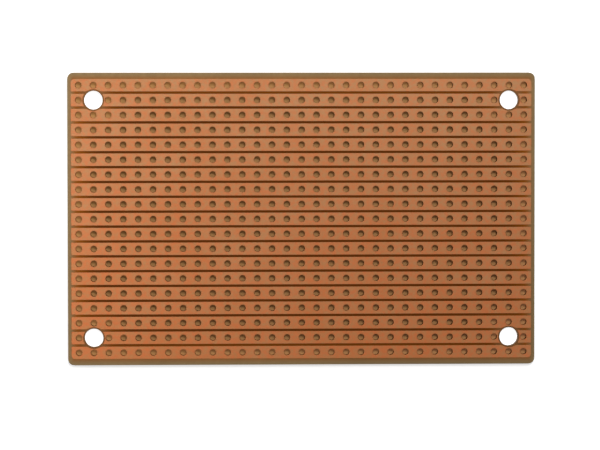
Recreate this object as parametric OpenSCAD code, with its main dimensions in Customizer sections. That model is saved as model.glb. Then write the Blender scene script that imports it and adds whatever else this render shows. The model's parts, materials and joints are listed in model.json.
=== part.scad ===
// Stripboard: a single-sided prototype board for soldered electronics.
//
// A sheet of phenolic paper laminate lies flat, with its copper side up. Parallel strips of copper foil
// are bonded to it, and every strip is pierced by a row of lead holes on a tenth-of-an-inch grid. Four
// screw holes take the place of lead holes near the corners.
//
// +X runs along the strips, +Y across them towards strip 1, and +Z out of the copper side. The origin is
// the middle of the bare underside. All sizes are in millimetres.

/* [Board] */
// Length of the board, along the strips
board_l = 80; // [40:0.5:160]
// Width of the board, across the strips
board_w = 50; // [30:0.5:100]
// Thickness of the board, laminate and foil together
board_t = 1.6; // [0.8:0.1:3.2]
// Radius of the board's corners
corner_r = 1.05; // [0.2:0.05:3]

/* [Hole grid] */
// Distance from one hole to the next, both ways
pitch = 2.54; // [2:0.01:3.2]
// Diameter of a lead hole
lead_hole_d = 1.05; // [0.8:0.05:1.3]
// Least distance from the board's edge to the middle of a hole
edge_distance = 1.5; // [1.3:0.05:3]

/* [Copper] */
// Thickness of the copper foil
foil_t = 0.035; // [0.018, 0.035, 0.07]
// Gap etched between two strips
strip_gap = 0.4; // [0.2:0.05:0.7]
// Bare laminate between the end of a strip and the board's edge
end_margin = 0.6; // [0.3:0.05:0.9]
// Radius of the copper field's four outer corners
field_corner_r = 0.6; // [0.1:0.05:1]

/* [Screw holes] */
// Diameter of a screw hole
screw_hole_d = 3.2; // [2.5:0.1:4.4]
// Grid places between a screw hole and the outermost column or row
screw_hole_inset = 1; // [1:1:3]
// Bare laminate etched round a screw hole
screw_hole_ring = 0.25; // [0.1:0.05:0.5]
// Least web of laminate left between a lead hole and a screw hole
least_web = 0.3; // [0.1:0.05:0.8]

/* [Hidden] */
$fn = 48;

columns = floor((board_l - 2 * edge_distance) / pitch) + 1;
rows = floor((board_w - 2 * edge_distance) / pitch) + 1;
laminate_t = board_t - foil_t;
strip_w = pitch - strip_gap;
field_l = board_l - 2 * end_margin;
field_w = rows * pitch - strip_gap;
copper_cut_d = screw_hole_d + 2 * screw_hole_ring;

// Columns and rows that the screw holes stand on
screw_columns = [1 + screw_hole_inset, columns - screw_hole_inset];
screw_rows = [1 + screw_hole_inset, rows - screw_hole_inset];

// Column 1 is the leftmost, and row 1 the topmost
function column_x(column) = (column - (columns + 1) / 2) * pitch;
function row_y(row) = ((rows + 1) / 2 - row) * pitch;

function is_one_of(value, list) = len([for (item = list) if (item == value) item]) > 0;

screw_places = [for (column = screw_columns) for (row = screw_rows) [column_x(column), row_y(row)]];

// A lead hole is pierced wherever it clears every screw hole by the least web
function is_pierced(place) =
    min([for (screw = screw_places) norm(place - screw)])
        >= (screw_hole_d + lead_hole_d) / 2 + least_web;

function lead_places(row) = [
    for (column = [1 : columns])
        let (place = [column_x(column), row_y(row)])
            if (is_pierced(place)) place
];

// The pieces of one strip, each as [name, left end, right end]. A screw hole is wider than its strip,
// so it parts the strip, and three pieces are left.
function strip_pieces(row) =
    let (name = str("strip_", row < 10 ? "0" : "", row))
        is_one_of(row, screw_rows)
            ? [
                [str(name, "_left"), -field_l / 2, column_x(screw_columns[0])],
                [str(name, "_middle"), column_x(screw_columns[0]), column_x(screw_columns[1])],
                [str(name, "_right"), column_x(screw_columns[1]), field_l / 2],
            ]
            : [[name, -field_l / 2, field_l / 2]];

module rounded_rectangle(size, r) {
    square([size[0] - 2 * r, size[1]], center = true);
    square([size[0], size[1] - 2 * r], center = true);
    for (x = [-1, 1], y = [-1, 1])
        translate([x * (size[0] / 2 - r), y * (size[1] / 2 - r)])
            circle(r);
}

module circles(places, d) {
    for (place = places)
        translate(place)
            circle(d = d);
}

module laminate() {
    color([0.52, 0.41, 0.28])
        linear_extrude(laminate_t)
            difference() {
                rounded_rectangle([board_l, board_w], corner_r);
                for (row = [1 : rows])
                    circles(lead_places(row), lead_hole_d);
                circles(screw_places, screw_hole_d);
            }
}

// One piece of copper, cut from the etched field between two gaps
module strip(row, left, right) {
    color([0.72, 0.45, 0.28])
        translate([0, 0, laminate_t])
            linear_extrude(foil_t)
                difference() {
                    intersection() {
                        rounded_rectangle([field_l, field_w], field_corner_r);
                        translate([left, row_y(row) - strip_w / 2])
                            square([right - left, strip_w]);
                    }
                    circles(lead_places(row), lead_hole_d);
                    circles(screw_places, copper_cut_d);
                }
}

laminate();
for (row = [1 : rows])
    for (piece = strip_pieces(row))
        strip(row, piece[1], piece[2]);
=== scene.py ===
"""Stripboard: the visible pieces of a prototype board, built round its CAD frame.

The board is a sheet of phenolic paper laminate with parallel copper strips on its upper side. A
regular grid of lead holes pierces strips and laminate, and four screw holes take the place of lead
holes near the corners. Each piece is one closed mesh, worked out with numpy from the sizes that the
frame gives. Lengths are in metres.
"""

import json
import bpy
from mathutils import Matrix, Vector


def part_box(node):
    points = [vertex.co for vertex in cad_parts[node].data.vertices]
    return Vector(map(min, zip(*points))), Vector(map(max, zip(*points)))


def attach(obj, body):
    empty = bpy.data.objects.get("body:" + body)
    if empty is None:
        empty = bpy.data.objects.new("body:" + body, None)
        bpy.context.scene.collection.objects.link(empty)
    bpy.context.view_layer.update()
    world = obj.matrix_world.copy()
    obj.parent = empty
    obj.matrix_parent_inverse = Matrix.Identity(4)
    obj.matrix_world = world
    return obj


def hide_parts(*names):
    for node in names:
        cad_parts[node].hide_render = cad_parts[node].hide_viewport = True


bl_info = {
    "name": "Stripboard",
    "version": (1, 0, 0),
    "blender": (4, 5, 0),
    "location": "3D View > Sidebar > Stripboard",
    "description": "Builds the laminate, the copper strips and a plain studio round them",
    "category": "Add Mesh",
}

import bpy
import numpy as np
from mathutils import Vector

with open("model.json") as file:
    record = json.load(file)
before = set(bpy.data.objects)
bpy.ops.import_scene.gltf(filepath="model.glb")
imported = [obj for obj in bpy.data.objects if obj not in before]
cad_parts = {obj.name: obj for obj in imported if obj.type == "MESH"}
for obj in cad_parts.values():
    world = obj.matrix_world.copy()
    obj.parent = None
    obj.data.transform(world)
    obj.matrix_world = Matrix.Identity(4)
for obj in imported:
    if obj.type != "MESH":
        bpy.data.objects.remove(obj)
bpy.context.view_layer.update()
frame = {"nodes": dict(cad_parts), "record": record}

MM = 0.001
TO_THE_MICROMETRE = 0.001 * MM
TINY = 1e-8  # lengths below this are taken as none

# Sizes that the frame gives
MOUNTS = {mount["name"]: mount for mount in frame["record"]["mounts"]}
LEAD_GRID = MOUNTS["lead_grid"]["dims"]
PITCH = LEAD_GRID["spacing_x_mm"] * MM
LEAD_RADIUS = LEAD_GRID["hole_r_mm"] * MM
SCREW_RADIUS = MOUNTS["screw_hole_pattern"]["dims"]["hole_r_mm"] * MM
SCREWS = np.array([mount["pos_m"][:2] for mount in MOUNTS.values() if mount["kind"] == "bore"])
STRIPS = sorted(name for name in frame["nodes"] if name.startswith("strip_"))


def node_box(name):
    """Lowest and highest corner of a CAD node, as two arrays."""
    return np.array(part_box(name), float)


def corner_radius(name):
    """Radius of the corners at a CAD node's back edge: what its straight part stops short of the
    box."""
    mesh = frame["nodes"][name].data
    places = np.empty(len(mesh.vertices) * 3, np.float32)
    mesh.vertices.foreach_get("co", places)
    places = places.reshape(-1, 3)
    at_back = places[:, 1] > places[:, 1].max() - TO_THE_MICROMETRE
    return float(places[:, 0].max() - places[at_back, 0].max())


def ring_radius():
    """Radius of the ring etched round a screw hole, from the nearest corner of a strip that it
    parts."""
    gaps = []
    for name in STRIPS:
        if name.endswith(("_left", "_right")):
            low, high = node_box(name)[:, :2]
            tips = np.array([[x, y] for x in (low[0], high[0]) for y in (low[1], high[1])])
            gaps.append(np.linalg.norm(tips[:, None] - SCREWS, axis=-1).min())
    return float(min(gaps))


BOARD = node_box("laminate")
COPPER = np.array([node_box(name) for name in STRIPS])
FIELD = np.array([COPPER[:, 0].min(0), COPPER[:, 1].max(0)])  # box of all the copper
TOP = FIELD[1, 2]  # height of the copper's upper side
FACE = BOARD[1, 2]  # and of the laminate's
ROWS = len(set(np.round(COPPER[:, 0, 1], 6)))
COLUMNS = round((LEAD_GRID["count"] + len(SCREWS)) / ROWS)
GRID_X = (np.arange(COLUMNS) - (COLUMNS - 1) / 2) * PITCH
GRID_Y = (np.arange(ROWS) - (ROWS - 1) / 2) * PITCH
BOARD_CORNER = corner_radius("laminate")
FIELD_CORNER = corner_radius(STRIPS[0])
RING_RADIUS = ring_radius()


# ---------------------------------------------------------------- settings


def length(name, description, default, most, least=0.0):
    """A setting that is a length. Its default and its limits are given in millimetres."""
    return bpy.props.FloatProperty(
        name=name,
        description=description,
        default=default * MM,
        min=least * MM,
        max=most * MM,
        precision=6,
        subtype="DISTANCE",
        unit="LENGTH",
    )


def share(name, description, default, most=1.0):
    """A setting that is a share, where 1 is the whole."""
    return bpy.props.FloatProperty(
        name=name, description=description, default=default, min=0, max=most, subtype="FACTOR"
    )


def hue(name, description, default):
    """A setting that is a colour."""
    return bpy.props.FloatVectorProperty(
        name=name, description=description, default=default, min=0, max=1, size=3, subtype="COLOR"
    )


class HoleSettings(bpy.types.PropertyGroup):
    """How the punched holes are finished."""

    rim: length(
        "Rolled rim", "Width of the copper that the punch rolls down at a lead hole", 0.09, 0.15
    )
    crater: length(
        "Crater", "How far the punch breaks the laminate away round a hole, underneath", 0.1, 0.3
    )
    crater_depth: length("Crater depth", "How deep that break goes into the laminate", 0.18, 0.5)
    screw_chamfer: length(
        "Screw hole chamfer", "Chamfer at both ends of a screw hole", 0.05, 0.15
    )


class CopperSettings(bpy.types.PropertyGroup):
    """The etched strips and their finish."""

    slope: length(
        "Etched slope", "How far a strip's edge leans back from its foot to its top", 0.03, 0.06
    )
    # The copper drifts from the first colour at the back to the second, darker and redder, at the
    # front.
    bright: hue("Bright copper", "Colour of the copper at the back", (0.338, 0.141, 0.056))
    front_copper: hue("Tanned copper", "Colour of the copper at the front", (0.338, 0.109, 0.0325))
    fleck: length("Fleck size", "Size of the redder and yellower flecks", 0.6, 3.0, 0.1)
    roughness: share("Roughness", "Mean roughness of the foil", 0.46)
    lacquer: share("Lacquer", "Weight of the clear flux lacquer over the foil", 0.25)
    grain: length("Rolling grain", "Height of the fine lines along the foil", 0.002, 0.02)


class LaminateSettings(bpy.types.PropertyGroup):
    """The phenolic paper sheet and its finish."""

    edge: length("Broken edge", "Radius to which the sheet's outer edges are broken", 0.07, 0.2)
    paper: hue("Paper", "Colour of the bare paper, at the back left", (0.308, 0.21, 0.098))
    lit_resin: hue(
        "Lit resin",
        "Colour of the resin where light comes into it from an edge or a screw hole",
        (0.355, 0.097, 0.004),
    )
    resin: hue(
        "Resin",
        "Colour of the resin between the strips, where no light comes into it",
        (0.107, 0.0258, 0.001),
    )
    light_depth: length(
        "Light depth", "How far light comes into the sheet from its edges", 7.0, 20.0, 0.1
    )
    # Painted light: besides the bare paper of the cut edges, the pale paper colour is painted this
    # far in on the face, for light that comes through the sheet.
    cut_and_glow_depth: length(
        "Cut edge", "How far the bare paper of the cut edges shows inwards", 2.4, 5.0, 0.1
    )
    roughness: share("Roughness", "Mean roughness of the sheet", 0.55)
    grain: length("Paper grain", "Height of the sheet's fine grain", 0.006, 0.02)


class StageSettings(bpy.types.PropertyGroup):
    """The plain studio: floor, lamps, surroundings and camera."""

    floor: hue("Floor", "Colour of the floor", (0.8, 0.8, 0.8))
    glow: share(
        "Floor glow", "What the camera sees on the floor besides the light that falls on it", 0.6
    )
    hole_glow: share("Glow in a screw hole", "The same on the floor in a screw hole", 0.9)
    # Painted light: the floor under the board is painted this amber for light that the laminate
    # tints.
    amber: hue(
        "Floor in a lead hole", "Colour of the floor under the amber laminate", (0.55, 0.3, 0.12)
    )
    seep_near: hue(
        "Seeping light, back left",
        "Light that comes through the laminate to the bottom of a lead hole, at the back left",
        (0.25, 0.115, 0.034),
    )
    seep_far: hue(
        "Seeping light, front right", "The same at the front right", (0.132, 0.054, 0.0235)
    )
    seep_depth: length(
        "Seeping depth",
        "How far from the board's edges and screw holes that light is stronger",
        8.0,
        20.0,
        0.1,
    )
    seep_least: share("Least seeping", "Share of that light in the middle of the board", 0.3)
    surroundings: share(
        "Surroundings", "Strength of the light from above, besides the lamps", 0.22, 2.0
    )
    horizon: share("Horizon", "Strength of the light from the horizon and from below", 1.0, 2.0)
    high: share("High lamp", "Share of full light on the board from the high lamp", 0.3, 2.0)
    back: share("Back lamp", "Share of full light on the board from the back lamp", 0.42, 2.0)
    left: share("Left lamp", "Share of full light on the board from the left lamp", 0.14, 2.0)
    sheen: share("Sheen", "Share of full light that the copper mirrors from a panel", 0.24, 2.0)
    lens: bpy.props.FloatProperty(
        name="Lens",
        description="Focal length of the camera",
        default=175.3,
        min=20,
        max=400,
        subtype="DISTANCE_CAMERA",
        unit="CAMERA",
    )


# ---------------------------------------------------------------- shapes

UP, OUT, DOWN = np.pi / 2, 0.0, -np.pi / 2  # lean of a surface: which way its normal points
SHEET_STEPS = (6, 6)  # steps along a cell's sides, for the laminate
STRIP_STEPS = (7, 5)  # and for the copper, whose cells are wider than deep
BEND = 0.3  # where an edge bends, as a share of its depth, and of a broken edge's width
ETCH_BEND, RIM_BEND = 0.4, 0.35  # the same of the width of an etched slope and of a rolled rim
RIM_LEAN, FOOT_LEAN = 0.6 * UP, 0.1 * UP  # lean of a rolled rim where it bends and at its foot
CRATER_LEAN = 0.6 * DOWN  # and of the break round a hole, underneath
CROWDING = 1.5  # exponent by which points draw together towards a corner
NUDGE = 0.01 * MM  # a step inwards, which shows the way that an outline faces

# The flat pattern, which the finish is laid out on
HOLE_RINGS = (0.95, 0.2)  # radius at a wall's top and bottom, as a share of its hole's
EDGE_RINGS = (0.1, 1.0)  # distance from the outline there, as a share of the spread
SHEET_SPREAD = 0.8 * MM  # room for the edge's wall outside the laminate's outline
STRIP_SPREAD = 0.1 * MM  # and outside a copper cell
PATTERN_MARGIN = 1.2  # the pattern's margin, as a share of the spread


def cell_loop(steps):
    """Points round a square of half side 1, from its lower right corner up, back, down and forth,
    the first again at the end. Along a side they lie at the tangents of equal angles from -45 to 45
    degrees, so that rays from the middle through them make even turns."""
    along_x, along_y = (np.tan(np.linspace(-np.pi / 4, np.pi / 4, n + 1))[:-1] for n in steps)
    right = np.stack([np.ones_like(along_y), along_y], -1)
    back = np.stack([-along_x, np.ones_like(along_x)], -1)
    return np.concatenate([right, back, -right, -back, right[:1]])


def lattice(lines_x, lines_y, steps):
    """Boundaries of the cells between two sets of lines: the cell's middle plus its half size times
    cell_loop. The result is (rows, columns, points, 2)."""
    middle = np.stack(
        np.meshgrid((lines_x[1:] + lines_x[:-1]) / 2, (lines_y[1:] + lines_y[:-1]) / 2), -1
    )
    half = np.stack(np.meshgrid(np.diff(lines_x) / 2, np.diff(lines_y) / 2), -1)
    return middle[..., None, :] + half[..., None, :] * cell_loop(steps)


def lines_between(places, low, high):
    """Lines that part neighbouring places half way, with low before the first and high after the
    last."""
    return np.concatenate([[low], (places[1:] + places[:-1]) / 2, [high]])


def drawn_to_corners(points, box, reach):
    """Points on a box's outline slid towards its corners, which so get more of them: one at a
    distance d from a corner, within reach, goes to reach * (d / reach) ** CROWDING."""
    (low, high), moved = box, points.copy()
    for axis in (0, 1):
        across = points[..., 1 - axis]
        on_outline = (across < low[1 - axis] + TINY) | (across > high[1 - axis] - TINY)
        middle, half = (low[axis] + high[axis]) / 2, (high[axis] - low[axis]) / 2
        offset = points[..., axis] - middle
        gap = np.clip(half - np.abs(offset), 0, None)
        slid = np.sign(offset) * (half - reach[axis] * (gap / reach[axis]) ** CROWDING)
        near = on_outline & (gap < reach[axis])
        moved[..., axis] = np.where(near, middle + slid, points[..., axis])
    return moved


def held_in(points, half, radius):
    """Points held inside a rounded rectangle about the origin: one that is further than radius from
    the rectangle smaller by radius all round comes back to that distance."""
    core = np.clip(points, radius - half, half - radius)
    off = points - core
    far = np.linalg.norm(off, axis=-1, keepdims=True)
    return core + off * np.minimum(1, radius / np.maximum(far, TINY))


def pushed_out(points, centres, radius):
    """Points nearer than radius to one of the centres, moved straight away from it to that
    distance."""
    for centre in centres:
        off = points - centre
        far = np.linalg.norm(off, axis=-1, keepdims=True)
        points = centre + off * np.maximum(1, radius / np.maximum(far, TINY))
    return points


def row(points, height, outward, lean, pattern):
    """One row of a surface: its places, its normals, which point outward by the cosine of lean and
    up by its sine, and its places on the flat pattern."""
    shape = points.shape[:-1] + (1,)
    return np.concatenate(
        [
            points,
            np.full(shape, height),
            np.broadcast_to(outward, points.shape) * np.cos(lean),
            np.full(shape, np.sin(lean)),
            pattern,
        ],
        axis=-1,
    )


def faces_between(rows):
    """Four corners of each face between neighbouring rows. Rows at one place only change the normal
    there, and have no faces between them."""
    upper, lower = rows[:-1], rows[1:]
    corners = [lower[..., :-1, :], upper[..., :-1, :], upper[..., 1:, :], lower[..., 1:, :]]
    faces = np.stack(corners, -2).reshape(-1, 4, 8)
    return faces[np.abs(faces[:, 0, :3] - faces[:, 1, :3]).max(1) > TINY]


def holed_cells(cells, steps, centres, radius, profile, limit, edge, pattern):
    """Surface of cells with a round hole in each, as a function of two parameters: one runs round
    the cell, and the other from its boundary on top, over the rows of the hole's profile, to its
    boundary below. A profile row is (inset, height, lean), and lies on a circle of radius plus
    inset. On the pattern a wall is drawn inside its hole."""
    count = 2 * sum(steps)
    turn = 2 * np.pi * (np.arange(count + 1) - steps[1] / 2) / count
    ray = np.stack([np.cos(turn), np.sin(turn)], -1)
    top, bottom = edge[0], edge[-1]
    boundary = limit(cells, top[0])
    rows = [row(boundary, top[1], ray, UP, pattern(boundary, False))]
    for inset, height, lean in profile:
        points = flat = centres[:, None] + (radius + inset) * ray
        if abs(lean) < UP:
            depth = (top[1] - height) / (top[1] - bottom[1])
            flat = centres[:, None] + radius * np.interp(depth, (0, 1), HOLE_RINGS) * ray
        rows.append(row(points, height, -ray, lean, pattern(flat, lean == DOWN)))
    boundary = limit(cells, bottom[0])
    rows.append(row(boundary, bottom[1], ray, DOWN, pattern(boundary, True)))
    return faces_between(np.stack(rows))


def edge_wall(outline, limit, edge, spread, pattern):
    """Surface of a plate's edge: the rows (inset, height, lean) of the edge's profile, carried
    along stretches of its outline. On the pattern a wall is drawn outside its outline."""
    outer = limit(outline, 0)
    outward = outer - limit(outline, NUDGE)
    outward /= np.linalg.norm(outward, axis=-1, keepdims=True)
    top, bottom = edge[0], edge[-1]
    rows = []
    for inset, height, lean in edge:
        points = flat = limit(outline, inset)
        if abs(lean) < UP:
            depth = (top[1] - height) / (top[1] - bottom[1])
            flat = outer + outward * spread * np.interp(depth, (0, 1), EDGE_RINGS)
        rows.append(row(points, height, outward, lean, pattern(flat, lean == DOWN)))
    return faces_between(np.stack(rows)[..., ::-1, :])


def outline_of(cells, steps):
    """Stretches of a lattice's outline, each with the numbers of its cells: its right, back, left
    and front sides."""
    across, up = steps
    corner = np.cumsum([0, up, across, up, across])
    number = np.arange(cells.shape[0] * cells.shape[1]).reshape(cells.shape[:2])
    sides = (
        (cells[:, -1], number[:, -1]),
        (cells[-1], number[-1]),
        (cells[:, 0], number[:, 0]),
        (cells[0], number[0]),
    )
    spans = zip(corner[:-1], corner[1:] + 1)
    return [(side[:, first:last], index) for (first, last), (side, index) in zip(spans, sides)]


def on_pattern(flat, low, size, spread):
    """Places in a box, with a margin round it, as shares of the whole."""
    margin = PATTERN_MARGIN * spread
    return (flat - low + margin) / (size + 2 * margin)


def welded_mesh(name, faces):
    """Mesh of four-cornered faces. Corners at one place, to the nanometre, become one vertex, and
    each corner keeps its own normal and its place on the flat pattern. It raises an error if the
    surface isn't closed."""
    corners = np.round(faces[..., :3].reshape(-1, 3), 9)
    places, index = np.unique(corners, axis=0, return_inverse=True)
    index = index.reshape(-1, 4)
    forth = np.stack([index, np.roll(index, -1, 1)], -1).reshape(-1, 2)
    sides = len(np.unique(forth, axis=0)), len(np.unique(np.sort(forth, 1), axis=0))
    if sides != (len(forth), len(forth) // 2):
        raise RuntimeError(f"the surface of {name} isn't closed")
    mesh = bpy.data.meshes.new(name)
    mesh.vertices.add(len(places))
    mesh.vertices.foreach_set("co", places.ravel())
    mesh.loops.add(index.size)
    mesh.loops.foreach_set("vertex_index", index.astype(np.int32).ravel())
    mesh.polygons.add(len(index))
    mesh.polygons.foreach_set("loop_start", np.arange(0, index.size, 4, dtype=np.int32))
    mesh.polygons.foreach_set("use_smooth", np.ones(len(index), bool))
    mesh.update(calc_edges=True)
    mesh.normals_split_custom_set(faces[..., 3:6].reshape(-1, 3))
    layer = mesh.uv_layers.new(name="OFBake", do_init=False)
    layer.uv.foreach_set("vector", faces[..., 6:].astype(np.float32).ravel())
    return mesh


def placed(name, faces, material, node):
    """Puts the finished piece in the scene, where it rides on the board and stands for its CAD
    node."""
    mesh = welded_mesh(name, faces)
    mesh.materials.append(material)
    piece = bpy.data.objects.new(name, mesh)
    bpy.context.scene.collection.objects.link(piece)
    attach(piece, "root")
    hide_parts(node)


def laminate_faces(holes, sheet):
    """Faces of the laminate: a cell for every place of the grid. A screw hole's cell is the disc
    round its square, and its neighbours end on that disc. The upper half of the flat pattern is the
    sheet from above, and the lower half the underside."""
    low, high = BOARD[:, :2]
    half = (high - low) / 2
    lines = (lines_between(GRID_X, low[0], high[0]), lines_between(GRID_Y, low[1], high[1]))
    cells = lattice(*lines, SHEET_STEPS)
    reach = cells[0, 0].max(0) - cells[0, 0].min(0)
    cells = drawn_to_corners(cells, (low, high), reach)
    cells = pushed_out(cells, SCREWS, PITCH / np.sqrt(2))

    def limit(points, inset):
        return held_in(points, half - inset, BOARD_CORNER - inset)

    def pattern(flat, under):
        on_sheet = on_pattern(flat, low, high - low, SHEET_SPREAD)
        return on_sheet * (1, 0.5) + (0, 0 if under else 0.5)

    bottom, e, c = BOARD[0, 2], sheet.edge, holes.screw_chamfer
    edge = [
        (e, FACE, UP),
        (BEND * e, FACE - BEND * e, UP / 2),
        (0, FACE - e, OUT),
        (0, bottom + e, OUT),
        (BEND * e, bottom + BEND * e, DOWN / 2),
        (e, bottom, DOWN),
    ]
    lead_hole = [
        (0, FACE, UP),
        (0, FACE, OUT),
        (0, bottom + holes.crater_depth, OUT),
        (holes.crater, bottom, CRATER_LEAN),
        (holes.crater, bottom, DOWN),
    ]
    screw_hole = [
        (c, FACE, UP),
        (c, FACE, UP / 2),
        (0, FACE - c, UP / 2),
        (0, FACE - c, OUT),
        (0, bottom + c, OUT),
        (0, bottom + c, DOWN / 2),
        (c, bottom, DOWN / 2),
        (c, bottom, DOWN),
    ]
    places = np.stack(np.meshgrid(GRID_X, GRID_Y), -1)
    screwed = np.linalg.norm(places[..., None, :] - SCREWS, axis=-1).min(-1) < PITCH / 2
    parts = [
        holed_cells(cells[here], SHEET_STEPS, places[here], radius, profile, limit, edge, pattern)
        for here, radius, profile in (
            (~screwed, LEAD_RADIUS, lead_hole),
            (screwed, SCREW_RADIUS, screw_hole),
        )
    ]
    parts += [
        edge_wall(outline, limit, edge, SHEET_SPREAD, pattern)
        for outline, _ in outline_of(cells, SHEET_STEPS)
    ]
    return np.concatenate(parts)


def strip_faces(name, holes, copper):
    """Faces of one piece of copper: a row of cells, one for each lead hole, that ends where the
    etched field or the ring round a screw hole does. The flat pattern has a tile for the top of
    every cell, then one for its underside."""
    low, high = node_box(name)[:, :2]
    y = (low[1] + high[1]) / 2
    places = np.stack([GRID_X, np.full(COLUMNS, y)], -1)
    inside = (GRID_X > low[0]) & (GRID_X < high[0])
    clear = np.linalg.norm(places[:, None] - SCREWS, axis=-1).min(-1) > RING_RADIUS + LEAD_RADIUS
    places = places[inside & clear]
    lines = (lines_between(places[:, 0], low[0], high[0]), np.array([low[1], high[1]]))
    cells = lattice(*lines, STRIP_STEPS)
    field_low, field_high = FIELD[:, :2]
    field_half = (field_high - field_low) / 2
    reach = np.array([GRID_X[0] + PITCH / 2 - field_low[0], high[1] - low[1]])
    cells = drawn_to_corners(cells, (field_low, field_high), reach)

    def limit(points, inset):
        points = np.clip(points, low + inset, high - inset)
        points = held_in(points, field_half - inset, FIELD_CORNER - inset)
        return pushed_out(points, SCREWS, RING_RADIUS + inset)

    corners = cells.min(2).reshape(-1, 2)
    size = (cells.max(2) - cells.min(2)).reshape(-1, 2).max(0)
    across = int(np.ceil(np.sqrt(2 * len(corners))))

    def pattern_of(index):
        """The pattern for the cells of this index."""

        def pattern(flat, under):
            number = index + under * len(corners)
            tile = np.stack([number % across, number // across], -1)
            in_tile = on_pattern(flat, corners[index][:, None], size, STRIP_SPREAD)
            return (tile[:, None] + in_tile) / across

        return pattern

    bend = TOP - BEND * (TOP - FACE)
    edge = [
        (copper.slope, TOP, UP),
        (ETCH_BEND * copper.slope, bend, UP / 2),
        (0, FACE, OUT),
        (0, FACE, DOWN),
    ]
    lead_hole = [
        (holes.rim, TOP, UP),
        (RIM_BEND * holes.rim, bend, RIM_LEAN),
        (0, FACE, FOOT_LEAN),
        (0, FACE, DOWN),
    ]
    everywhere = pattern_of(np.arange(len(places)))
    parts = [
        holed_cells(
            cells[0], STRIP_STEPS, places, LEAD_RADIUS, lead_hole, limit, edge, everywhere
        )
    ]
    parts += [
        edge_wall(outline, limit, edge, STRIP_SPREAD, pattern_of(index))
        for outline, index in outline_of(cells, STRIP_STEPS)
    ]
    return np.concatenate(parts)


# ---------------------------------------------------------------- nodes


def add(tree, kind, values=None, **settings):
    """Adds a shader node, sets it up, and gives its inputs a value or links them to a socket."""
    made = tree.nodes.new(kind)
    for name, value in settings.items():
        setattr(made, name, value)
    for name, value in (values or {}).items():
        if isinstance(value, bpy.types.NodeSocket):
            tree.links.new(value, made.inputs[name])
        else:
            made.inputs[name].default_value = value
    return made


def calc(tree, operation, *values, clamp=False):
    """Result of a Math node on one or two values or sockets."""
    inputs = dict(enumerate(values))
    return add(tree, "ShaderNodeMath", inputs, operation=operation, use_clamp=clamp).outputs[0]


def ramp(tree, value, start, end, low=0.0, high=1.0):
    """A value taken smoothly from low at start to high at end."""
    made = add(
        tree,
        "ShaderNodeMapRange",
        {"Value": value, "From Min": start, "From Max": end, "To Min": low, "To Max": high},
        interpolation_type="SMOOTHSTEP",
    )
    return made.outputs["Result"]


def parts_of(tree, vector):
    """X, Y and Z of a vector."""
    return add(tree, "ShaderNodeSeparateXYZ", {0: vector}).outputs


def distance(tree, across, up):
    """Length of the line from the origin to (across, up)."""
    squares = (calc(tree, "MULTIPLY", value, value) for value in (across, up))
    return calc(tree, "SQRT", calc(tree, "ADD", *squares))


def noise(tree, place, size, detail):
    """Noise from 0 to 1, in lumps of this size."""
    values = {"Vector": place, "Scale": calc(tree, "DIVIDE", 1.0, size), "Detail": detail}
    return add(tree, "ShaderNodeTexNoise", values).outputs["Fac"]


def swing(tree, value, contrast):
    """A value from 0 to 1 turned into a swing about 0, as wide as contrast."""
    return calc(tree, "MULTIPLY", calc(tree, "SUBTRACT", value, 0.5), contrast)


def tint(tree, factor, first, second, blend="MIX"):
    """A colour between two others, or the first one changed by the second as blend says."""
    values = {0: factor, 6: first, 7: second}  # the sockets of a colour mix
    return add(tree, "ShaderNodeMix", values, data_type="RGBA", blend_type=blend).outputs[2]


def colour(value, brightness=1.0):
    """A colour as four numbers, its three parts times brightness and then 1."""
    return (*(brightness * part for part in value), 1.0)


def seen_rays(tree):
    """1 for rays that the camera sees straight, mirrored or through glass, and 0 for others."""
    path = add(tree, "ShaderNodeLightPath").outputs
    bent = calc(tree, "MAXIMUM", path["Is Glossy Ray"], path["Is Transmission Ray"])
    return calc(tree, "MAXIMUM", path["Is Camera Ray"], bent)


# ---------------------------------------------------------------- shared effects


def new_group(name, inputs, output="Factor"):
    """An empty node group with named inputs, each (name, default), where a default of None is a
    vector. It returns the tree, its inputs and a function that links its one output."""
    tree = bpy.data.node_groups.new(name, "ShaderNodeTree")
    for label, value in inputs:
        kind = "NodeSocketVector" if value is None else "NodeSocketFloat"
        socket = tree.interface.new_socket(label, in_out="INPUT", socket_type=kind)
        if value is not None:
            socket.default_value = value
    tree.interface.new_socket(output, in_out="OUTPUT", socket_type="NodeSocketFloat")
    ends = tree.nodes.new("NodeGroupInput"), tree.nodes.new("NodeGroupOutput")
    return tree, ends[0].outputs, lambda value: tree.links.new(value, ends[1].inputs[0])


def blotches(name):
    """Soft blotches of a given size: noise, spread about one half by Contrast."""
    tree, given, give = new_group(
        name, [("Vector", None), ("Size", MM), ("Detail", 3), ("Contrast", 2)]
    )
    lumps = noise(tree, given["Vector"], given["Size"], given["Detail"])
    give(calc(tree, "ADD", swing(tree, lumps, given["Contrast"]), 0.5, clamp=True))
    return tree


def drift(name):
    """A drift over the board: one half in the middle, rising by 1 over Reach X to the right and
    over Reach Y to the front, or falling where a reach is negative. It is uneven by Unevenness in
    soft clouds of a given size, and stays between 0 and 1."""
    tree, given, give = new_group(
        name,
        [
            ("Vector", None),
            ("Reach X", 0.1),
            ("Reach Y", 0.1),
            ("Cloud", 9 * MM),
            ("Unevenness", 0),
        ],
    )
    place = parts_of(tree, given["Vector"])
    across = calc(tree, "DIVIDE", place[0], given["Reach X"])
    forward = calc(tree, "DIVIDE", place[1], given["Reach Y"])
    cloud = swing(tree, noise(tree, given["Vector"], given["Cloud"], detail=3), given["Unevenness"])
    slope = calc(tree, "SUBTRACT", across, forward)
    give(calc(tree, "ADD", calc(tree, "ADD", slope, cloud), 0.5, clamp=True))
    return tree


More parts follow.
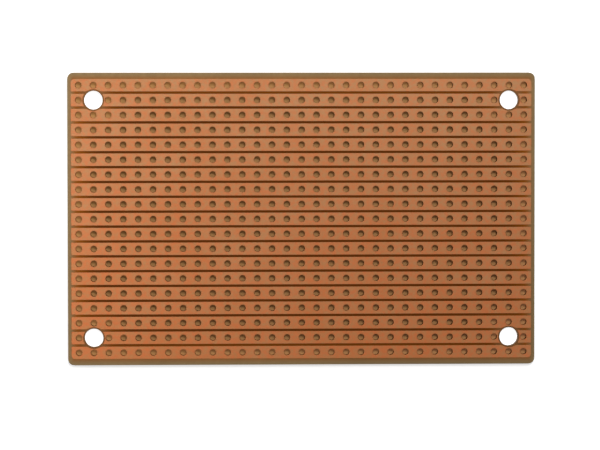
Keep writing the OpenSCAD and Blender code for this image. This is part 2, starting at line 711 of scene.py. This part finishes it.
def edge_light(name):
    """Nearness to the board's outline and, times Screw Share, to the walls of its screw holes: 1
    there, and the square of a smooth fall to 0 at Depth inside. The board and its screw holes are
    alike on both sides of both middle lines, so the place is folded onto one quarter. The rounded
    outline lies Corner outside a smaller rectangle, from which the distance is measured: outside it
    to its nearest point, and inside it to its nearest side."""
    tree, given, give = new_group(
        name,
        [
            ("Vector", None),
            ("Half Length", BOARD[1, 0]),
            ("Half Width", BOARD[1, 1]),
            ("Corner", BOARD_CORNER),
            ("Screw X", SCREWS[:, 0].max()),
            ("Screw Y", SCREWS[:, 1].max()),
            ("Screw Radius", SCREW_RADIUS),
            ("Screw Share", 0.5),
            ("Depth", 3 * MM),
        ],
    )
    folded = [calc(tree, "ABSOLUTE", axis) for axis in parts_of(tree, given["Vector"])[:2]]
    past = [
        calc(tree, "ADD", calc(tree, "SUBTRACT", axis, given[half]), given["Corner"])
        for axis, half in zip(folded, ("Half Length", "Half Width"))
    ]
    outside = distance(tree, *(calc(tree, "MAXIMUM", value, 0.0) for value in past))
    within = calc(tree, "MINIMUM", calc(tree, "MAXIMUM", *past), 0.0)
    from_edge = calc(tree, "SUBTRACT", given["Corner"], calc(tree, "ADD", outside, within))
    off = (
        calc(tree, "SUBTRACT", axis, given[screw])
        for axis, screw in zip(folded, ("Screw X", "Screw Y"))
    )
    from_screw = calc(tree, "SUBTRACT", distance(tree, *off), given["Screw Radius"])
    near_edge, near_screw = (
        ramp(tree, inside, 0.0, given["Depth"], 1.0, 0.0) for inside in (from_edge, from_screw)
    )
    near_edge, near_screw = (calc(tree, "MULTIPLY", near, near) for near in (near_edge, near_screw))
    near_screw = calc(tree, "MULTIPLY", near_screw, given["Screw Share"])
    give(calc(tree, "MAXIMUM", near_edge, near_screw))
    return tree


def hole_nearness(name):
    """Nearness to the lead holes: 1 at a hole's rim, falling smoothly to 0 at Width from it. The
    grid has a hole at the origin, and Last X and Last Y are the numbers of the last holes counted
    from there."""
    tree, given, give = new_group(
        name,
        [
            ("Vector", None),
            ("Pitch", PITCH),
            ("Last X", COLUMNS // 2),
            ("Last Y", ROWS // 2),
            ("Radius", LEAD_RADIUS),
            ("Width", MM),
        ],
    )
    off = []
    for axis, last in zip(parts_of(tree, given["Vector"])[:2], ("Last X", "Last Y")):
        folded = calc(tree, "ABSOLUTE", axis)
        number = calc(tree, "ROUND", calc(tree, "DIVIDE", folded, given["Pitch"]))
        number = calc(tree, "MINIMUM", number, given[last])
        off.append(calc(tree, "SUBTRACT", folded, calc(tree, "MULTIPLY", number, given["Pitch"])))
    reach = calc(tree, "ADD", given["Radius"], given["Width"])
    give(ramp(tree, distance(tree, *off), given["Radius"], reach, 1.0, 0.0))
    return tree


def grain(name):
    """A fine grain that runs along X: noise from 0 to 1, stretched by Stretch in that direction."""
    tree, given, give = new_group(
        name, [("Vector", None), ("Size", 0.1 * MM), ("Stretch", 10)], "Height"
    )
    place = parts_of(tree, given["Vector"])
    along = calc(tree, "DIVIDE", place[0], given["Stretch"])
    drawn = add(tree, "ShaderNodeCombineXYZ", {0: along, 1: place[1], 2: place[2]}).outputs[0]
    give(noise(tree, drawn, given["Size"], detail=4))
    return tree


GROUPS = {make.__name__: make for make in (blotches, drift, edge_light, hole_nearness, grain)}


def effect(tree, name, values):
    """One of the shared groups, made the first time that it is asked for, placed in a material with
    its own values."""
    group = bpy.data.node_groups.get(name) or GROUPS[name](name)
    return add(tree, "ShaderNodeGroup", values, node_tree=group).outputs[0]


# ---------------------------------------------------------------- finishes

RED_WASH, YELLOW_WASH = (1.08, 0.92, 0.86, 1), (0.92, 1.08, 1.16, 1)  # they multiply the copper
COPPER_GLANCE = (1.0, 0.7, 0.55, 1.0)  # tint of what the copper mirrors at a low angle
COPPER_SPREAD, PAPER_SPREAD = 0.1, 0.16  # how much the roughness changes from grain to grain
# Painted shade round a lead hole, where the rolled rim dips into it.
RIM_SHADE = 0.35, 0.8  # round a lead hole: how much the copper darkens, and to which share of tanned
FIBRES = 0.9, 1.1  # darker and paler fibres, as shares of the paper's colour
# Painted shade: the paper and the lit resin darken towards the front right, away from the lamps.
SHADED_PAPER, SHADED_RESIN = 0.68, 0.62  # shares of their colours at the front right
LAYERS = 0.55, 0.6  # on the cut edges: how much the layers show, and their share of the paper
LAYER_STEP = 0.4 * MM  # how far apart the layers are
BREAK_OUT = 0.35, 1.6  # round a hole underneath: how much it whitens, and to which share
BARE_HEIGHTS = 0.05 * MM, 0.9 * MM  # from the underside, between which the bare paper ends
FLOOR_BORDER = 0.4 * MM  # how far the white floor reaches in under the board
FAR_FLOOR = 0.15, 0.8  # distances from the middle between which the floor's glow grows to white
CONTACT = 0.1 * MM  # the floor is clear to rays shorter than this


def new_finish(name):
    """An empty material with a Principled surface: the material, its tree, its surface and the
    place on the board."""
    material = bpy.data.materials.new(name)
    material.use_nodes = True
    tree = material.node_tree
    surface = tree.nodes["Principled BSDF"]
    return material, tree, surface, add(tree, "ShaderNodeTexCoord").outputs["Object"]


def finish(tree, surface, shade, relief, height, roughness, spread):
    """Gives a surface its colour, and a grain as relief of this height and as a spread of its
    roughness."""
    tree.links.new(shade, surface.inputs["Base Color"])
    rough = calc(tree, "ADD", roughness - spread / 2, calc(tree, "MULTIPLY", relief, spread))
    tree.links.new(rough, surface.inputs["Roughness"])
    bump = add(tree, "ShaderNodeBump", {"Height": relief, "Distance": height, "Strength": 1.0})
    tree.links.new(bump.outputs[0], surface.inputs["Normal"])


def copper_finish(copper):
    """Etched foil under a thin flux lacquer: satin metal, darker and redder towards the front and
    the left, unevenly in soft clouds, a little redder here and yellower there, with painted shade
    round its holes, and with rolling grain along the strips."""
    if "lacquered_copper" in bpy.data.materials:
        return bpy.data.materials["lacquered_copper"]
    material, tree, surface, place = new_finish("lacquered_copper")
    # A drift from the bright copper at the back to the darker, redder copper at the front and the
    # left, uneven in soft clouds.
    darkening = effect(
        tree, "drift", {"Vector": place, "Reach X": -0.4, "Reach Y": 0.055, "Unevenness": 1.2}
    )
    fleck = effect(
        tree, "blotches", {"Vector": place, "Size": copper.fleck, "Contrast": 3.5, "Detail": 3}
    )
    # Painted shade: the copper darkens near the rim of each lead hole.
    rim_shade = effect(tree, "hole_nearness", {"Vector": place, "Width": 0.35 * MM})
    lines = effect(tree, "grain", {"Vector": place, "Size": 0.12 * MM, "Stretch": 14})
    metal = tint(tree, darkening, colour(copper.bright), colour(copper.front_copper))
    red, yellow = (tint(tree, 1.0, metal, wash, "MULTIPLY") for wash in (RED_WASH, YELLOW_WASH))
    metal = tint(tree, fleck, red, yellow)
    darker = calc(tree, "MULTIPLY", rim_shade, RIM_SHADE[0])
    metal = tint(tree, darker, metal, colour(copper.front_copper, RIM_SHADE[1]))
    finish(tree, surface, metal, lines, copper.grain, copper.roughness, COPPER_SPREAD)
    surface.inputs["Metallic"].default_value = 1.0
    surface.inputs["Specular Tint"].default_value = COPPER_GLANCE
    surface.inputs["Coat Weight"].default_value = copper.lacquer
    surface.inputs["Coat Roughness"].default_value = 0.35
    return material


def laminate_finish(sheet):
    """Phenolic paper. Its face is dark resin where no light comes into the sheet. Near the board's
    edges and screw holes it has painted amber light, where light comes through the sheet, and
    within a few millimetres of the outline, and more weakly of the screw holes, it is painted with
    the pale paper colour for that light. Its cut edges and its underside are bare paper: mottled,
    layered on the edges, and whitened round the punched holes underneath. The amber and the paper
    darken to the front right, as painted shade."""
    if "phenolic_paper" in bpy.data.materials:
        return bpy.data.materials["phenolic_paper"]
    material, tree, surface, place = new_finish("phenolic_paper")
    light = effect(tree, "edge_light", {"Vector": place, "Depth": sheet.light_depth})
    # Painted light: bare paper on the cut edges, and the pale paper colour painted on the face near
    # the outline and, more weakly, near the screw holes, for light that comes through the sheet.
    cut = effect(
        tree, "edge_light", {"Vector": place, "Depth": sheet.cut_and_glow_depth, "Screw Share": 0.35}
    )
    low, high = (BOARD[0, 2] + height for height in BARE_HEIGHTS)
    bare = ramp(tree, parts_of(tree, place)[2], low, high, 1.0, 0.0)
    fibre = effect(
        tree, "blotches", {"Vector": place, "Size": 0.6 * MM, "Contrast": 2.0, "Detail": 5}
    )
    # Painted shade: a drift that darkens the paper and the amber towards the front right.
    away = effect(
        tree, "drift", {"Vector": place, "Reach X": 0.11, "Reach Y": 0.12, "Unevenness": 1.0}
    )
    paper = tint(tree, fibre, *(colour(sheet.paper, brightness) for brightness in FIBRES))
    paper = tint(tree, away, paper, colour(sheet.paper, SHADED_PAPER))
    bands = {
        "Vector": place,
        "Scale": np.pi / 10 / LAYER_STEP,
        "Distortion": 2,
        "Detail": 2,
        "Detail Scale": 0.3,
    }
    layers = add(tree, "ShaderNodeTexWave", bands, bands_direction="Z").outputs["Fac"]
    normal = add(tree, "ShaderNodeNewGeometry").outputs["True Normal"]
    upright = calc(tree, "ABSOLUTE", parts_of(tree, normal)[2])
    side = calc(tree, "SUBTRACT", 1.0, upright, clamp=True)
    layered = calc(tree, "MULTIPLY", calc(tree, "MULTIPLY", layers, side), LAYERS[0])
    paper = tint(tree, layered, paper, colour(sheet.paper, LAYERS[1]))
    halo = effect(tree, "hole_nearness", {"Vector": place, "Width": 0.45 * MM})
    broken = calc(tree, "MULTIPLY", calc(tree, "MULTIPLY", halo, bare), BREAK_OUT[0])
    paper = tint(tree, broken, paper, colour(sheet.paper, BREAK_OUT[1]))
    amber = tint(tree, away, colour(sheet.lit_resin), colour(sheet.lit_resin, SHADED_RESIN))
    shade = tint(tree, light, colour(sheet.resin), amber)
    shade = tint(tree, calc(tree, "MAXIMUM", cut, bare), shade, paper)
    fibres = effect(tree, "grain", {"Vector": place, "Size": 0.15 * MM, "Stretch": 1.6})
    finish(tree, surface, shade, fibres, sheet.grain, sheet.roughness, PAPER_SPREAD)
    surface.inputs["Specular IOR Level"].default_value = 0.06
    return material


def floor_finish(stage):
    """White paper with a glow that the camera sees, so that it shows pure white round the board and
    in the screw holes. At the bottom of a lead hole it is painted amber, for light that the
    laminate tints, and the camera sees a painted glow for the light that seeps through the
    laminate: stronger near the board's edges and screw holes, and weaker to the front right. The
    floor is clear to what comes from below and to what leaves the underside that lies on it, so
    that the underside can be seen and lit."""
    material, tree, surface, place = new_finish("white_paper")
    surface.inputs["Roughness"].default_value = 1.0
    surface.inputs["Specular IOR Level"].default_value = 0.0
    open_floor, outside = (
        effect(tree, "edge_light", {"Vector": place, "Screw Share": screws, "Depth": FLOOR_BORDER})
        for screws in (1.0, 0.0)
    )
    # Painted light: amber under the board, and a glow for the light that seeps through the laminate
    # into the lead holes.
    base = tint(tree, open_floor, colour(stage.amber), colour(stage.floor))
    tree.links.new(base, surface.inputs["Base Color"])
    near = effect(
        tree, "edge_light", {"Vector": place, "Depth": stage.seep_depth, "Screw Share": 0.95}
    )
    away = effect(tree, "drift", {"Vector": place, "Reach X": 0.1, "Reach Y": 0.1})
    seeping = tint(tree, away, colour(stage.seep_near), colour(stage.seep_far))
    more = calc(tree, "MULTIPLY", near, 1 - stage.seep_least)
    strength = calc(tree, "ADD", stage.seep_least, more)
    seeping = tint(tree, strength, colour((0, 0, 0)), seeping)
    from_middle = distance(tree, *parts_of(tree, place)[:2])
    around = ramp(tree, from_middle, *FAR_FLOOR, stage.glow, 1.0)
    glow = tint(tree, outside, colour((stage.hole_glow,) * 3), around)
    glow = tint(tree, open_floor, seeping, glow)
    tree.links.new(glow, surface.inputs["Emission Color"])
    tree.links.new(seen_rays(tree), surface.inputs["Emission Strength"])
    ray = add(tree, "ShaderNodeLightPath").outputs["Ray Length"]
    behind = add(tree, "ShaderNodeNewGeometry").outputs["Backfacing"]
    clear = calc(tree, "MAXIMUM", calc(tree, "LESS_THAN", ray, CONTACT), behind)
    glass = add(tree, "ShaderNodeBsdfTransparent").outputs[0]
    both = add(tree, "ShaderNodeMixShader", {0: clear, 1: surface.outputs[0], 2: glass})
    tree.links.new(both.outputs[0], tree.nodes["Material Output"].inputs["Surface"])
    return material


# ---------------------------------------------------------------- operators


class STRIPBOARD_OT_laminate(bpy.types.Operator):
    """Builds the sheet of phenolic paper laminate with its lead holes and screw holes"""

    bl_idname = "stripboard.laminate"
    bl_label = "Laminate"
    bl_options = {"REGISTER", "UNDO"}

    def execute(self, context):
        scene = context.scene
        faces = laminate_faces(scene.stripboard_holes, scene.stripboard_laminate)
        material = laminate_finish(scene.stripboard_laminate)
        placed("laminate_sheet", faces, material, "laminate")
        return {"FINISHED"}


def build_strips(scene, names):
    """Builds a copper piece for each of these CAD nodes."""
    material = copper_finish(scene.stripboard_copper)
    for name in names:
        faces = strip_faces(name, scene.stripboard_holes, scene.stripboard_copper)
        placed(f"copper_{name}", faces, material, name)


class STRIPBOARD_OT_whole_strips(bpy.types.Operator):
    """Builds the copper strips that run the whole length of the board"""

    bl_idname = "stripboard.whole_strips"
    bl_label = "Whole strips"
    bl_options = {"REGISTER", "UNDO"}

    def execute(self, context):
        build_strips(context.scene, [name for name in STRIPS if name.count("_") == 1])
        return {"FINISHED"}


class STRIPBOARD_OT_parted_strips(bpy.types.Operator):
    """Builds the pieces of the copper strips that the screw holes part"""

    bl_idname = "stripboard.parted_strips"
    bl_label = "Parted strips"
    bl_options = {"REGISTER", "UNDO"}

    def execute(self, context):
        build_strips(context.scene, [name for name in STRIPS if name.count("_") == 2])
        return {"FINISHED"}


FLOOR_HALF = 2.0  # half the length of the floor's sides
FLOOR_DROP = 0.02 * MM  # how far the floor lies below the board
LAMPS = {  # place and width of each lamp
    "high_lamp": ((0.033, 0.169, 0.62), 0.12),
    "back_lamp": ((0.011, 0.095, 0.12), 0.16),
    "left_lamp": ((-0.16, 0.03, 0.07), 0.08),
    "sheen_panel": ((-0.08, -0.006, 0.12), 0.1),
}
SKY = 0.0, 0.35  # sines of the heights between which the horizon's light gives way to the sky's
CAMERA_PLACE = (-19.355 * MM, 17.03 * MM, 500.95 * MM)
CAMERA_TURN = (-2.0715, -2.1853, -0.052)  # degrees about X, Y and Z


class STRIPBOARD_OT_stage(bpy.types.Operator):
    """Builds the floor, the lamps, the surroundings and the camera"""

    bl_idname = "stripboard.stage"
    bl_label = "Stage"
    bl_options = {"REGISTER", "UNDO"}

    def execute(self, context):
        scene, stage = context.scene, context.scene.stripboard_stage
        self.lay_floor(scene, stage)
        self.light(scene, stage)
        self.surround(scene, stage)
        self.set_camera(scene, stage)
        return {"FINISHED"}

    def lay_floor(self, scene, stage):
        """A square sheet just under the board."""
        side = (-FLOOR_HALF, FLOOR_HALF)
        grid = np.stack([*np.meshgrid(side, side), np.full((2, 2), -FLOOR_DROP)], -1)
        mesh = bpy.data.meshes.new("floor")
        mesh.from_pydata(grid.reshape(-1, 3).tolist(), [], [(0, 1, 3, 2)])
        mesh.materials.append(floor_finish(stage))
        floor = bpy.data.objects.new("floor", mesh)
        scene.collection.objects.link(floor)

    def lamp(self, scene, name, strength):
        """A round lamp aimed at the board, with the power that gives that share of full light
        there: strength * pi ** 2 * distance ** 2."""
        place, width = LAMPS[name]
        place = Vector(place)
        data = bpy.data.lights.new(name, "AREA")
        data.shape, data.size = "DISK", width
        data.energy = strength * np.pi**2 * place.length_squared
        lamp = bpy.data.objects.new(name, data)
        lamp.location = place
        lamp.visible_camera = False
        lamp.rotation_mode = "QUATERNION"
        lamp.rotation_quaternion = (-place).to_track_quat("-Z", "Y")
        scene.collection.objects.link(lamp)
        return lamp

    def light(self, scene, stage):
        """A high lamp a little to the right and behind, which nothing mirrors, soft lamps near the
        back and the left, and a panel that only shows mirrored, as the sheen of the copper."""
        self.lamp(scene, "high_lamp", stage.high).visible_glossy = False
        self.lamp(scene, "back_lamp", stage.back)
        self.lamp(scene, "left_lamp", stage.left)
        self.lamp(scene, "sheen_panel", stage.sheen).visible_diffuse = False

    def surround(self, scene, stage):
        """White to the camera, and to other rays an even light from all round that is brighter at
        the horizon and from below."""
        scene.world = bpy.data.worlds.new("surroundings")
        scene.world.use_nodes = True
        tree = scene.world.node_tree
        background = tree.nodes["Background"].inputs
        background["Color"].default_value = colour((1, 1, 1))
        direction = add(tree, "ShaderNodeTexCoord").outputs["Generated"]
        sky = ramp(tree, parts_of(tree, direction)[2], *SKY, stage.horizon, stage.surroundings)
        tree.links.new(calc(tree, "MAXIMUM", seen_rays(tree), sky), background["Strength"])

    def set_camera(self, scene, stage):
        """A long lens almost straight above the board."""
        data = bpy.data.cameras.new("camera")
        data.lens, data.sensor_width = stage.lens, 36
        data.clip_start, data.clip_end = 0.01, 10
        camera = bpy.data.objects.new("camera", data)
        camera.location = CAMERA_PLACE
        camera.rotation_euler = np.radians(CAMERA_TURN)
        scene.collection.objects.link(camera)
        scene.camera = camera
        scene.view_settings.view_transform = "Standard"


class STRIPBOARD_PT_board(bpy.types.Panel):
    """Lists the pieces of the board and their settings"""

    bl_idname = "STRIPBOARD_PT_board"
    bl_label = "Stripboard"
    bl_space_type = "VIEW_3D"
    bl_region_type = "UI"
    bl_category = "Stripboard"

    def draw(self, context):
        scene = context.scene
        for operators, settings in (
            ((STRIPBOARD_OT_laminate,), scene.stripboard_laminate),
            ((STRIPBOARD_OT_whole_strips, STRIPBOARD_OT_parted_strips), scene.stripboard_copper),
            ((), scene.stripboard_holes),
            ((STRIPBOARD_OT_stage,), scene.stripboard_stage),
        ):
            box = self.layout.box()
            for operator in operators:
                box.operator(operator.bl_idname)
            for name in settings.__annotations__:
                box.prop(settings, name)


SETTINGS = {
    "stripboard_holes": HoleSettings,
    "stripboard_copper": CopperSettings,
    "stripboard_laminate": LaminateSettings,
    "stripboard_stage": StageSettings,
}
CLASSES = (
    *SETTINGS.values(),
    STRIPBOARD_OT_laminate,
    STRIPBOARD_OT_whole_strips,
    STRIPBOARD_OT_parted_strips,
    STRIPBOARD_OT_stage,
    STRIPBOARD_PT_board,
)


def register():
    for kind in CLASSES:
        bpy.utils.register_class(kind)
    for name, kind in SETTINGS.items():
        setattr(bpy.types.Scene, name, bpy.props.PointerProperty(type=kind))


def unregister():
    for name in SETTINGS:
        delattr(bpy.types.Scene, name)
    for kind in reversed(CLASSES):
        bpy.utils.unregister_class(kind)


def main():
    """Builds every piece and the stage."""
    register()
    bpy.ops.stripboard.laminate()
    bpy.ops.stripboard.whole_strips()
    bpy.ops.stripboard.parted_strips()
    bpy.ops.stripboard.stage()


if __name__ == "__main__":
    main()
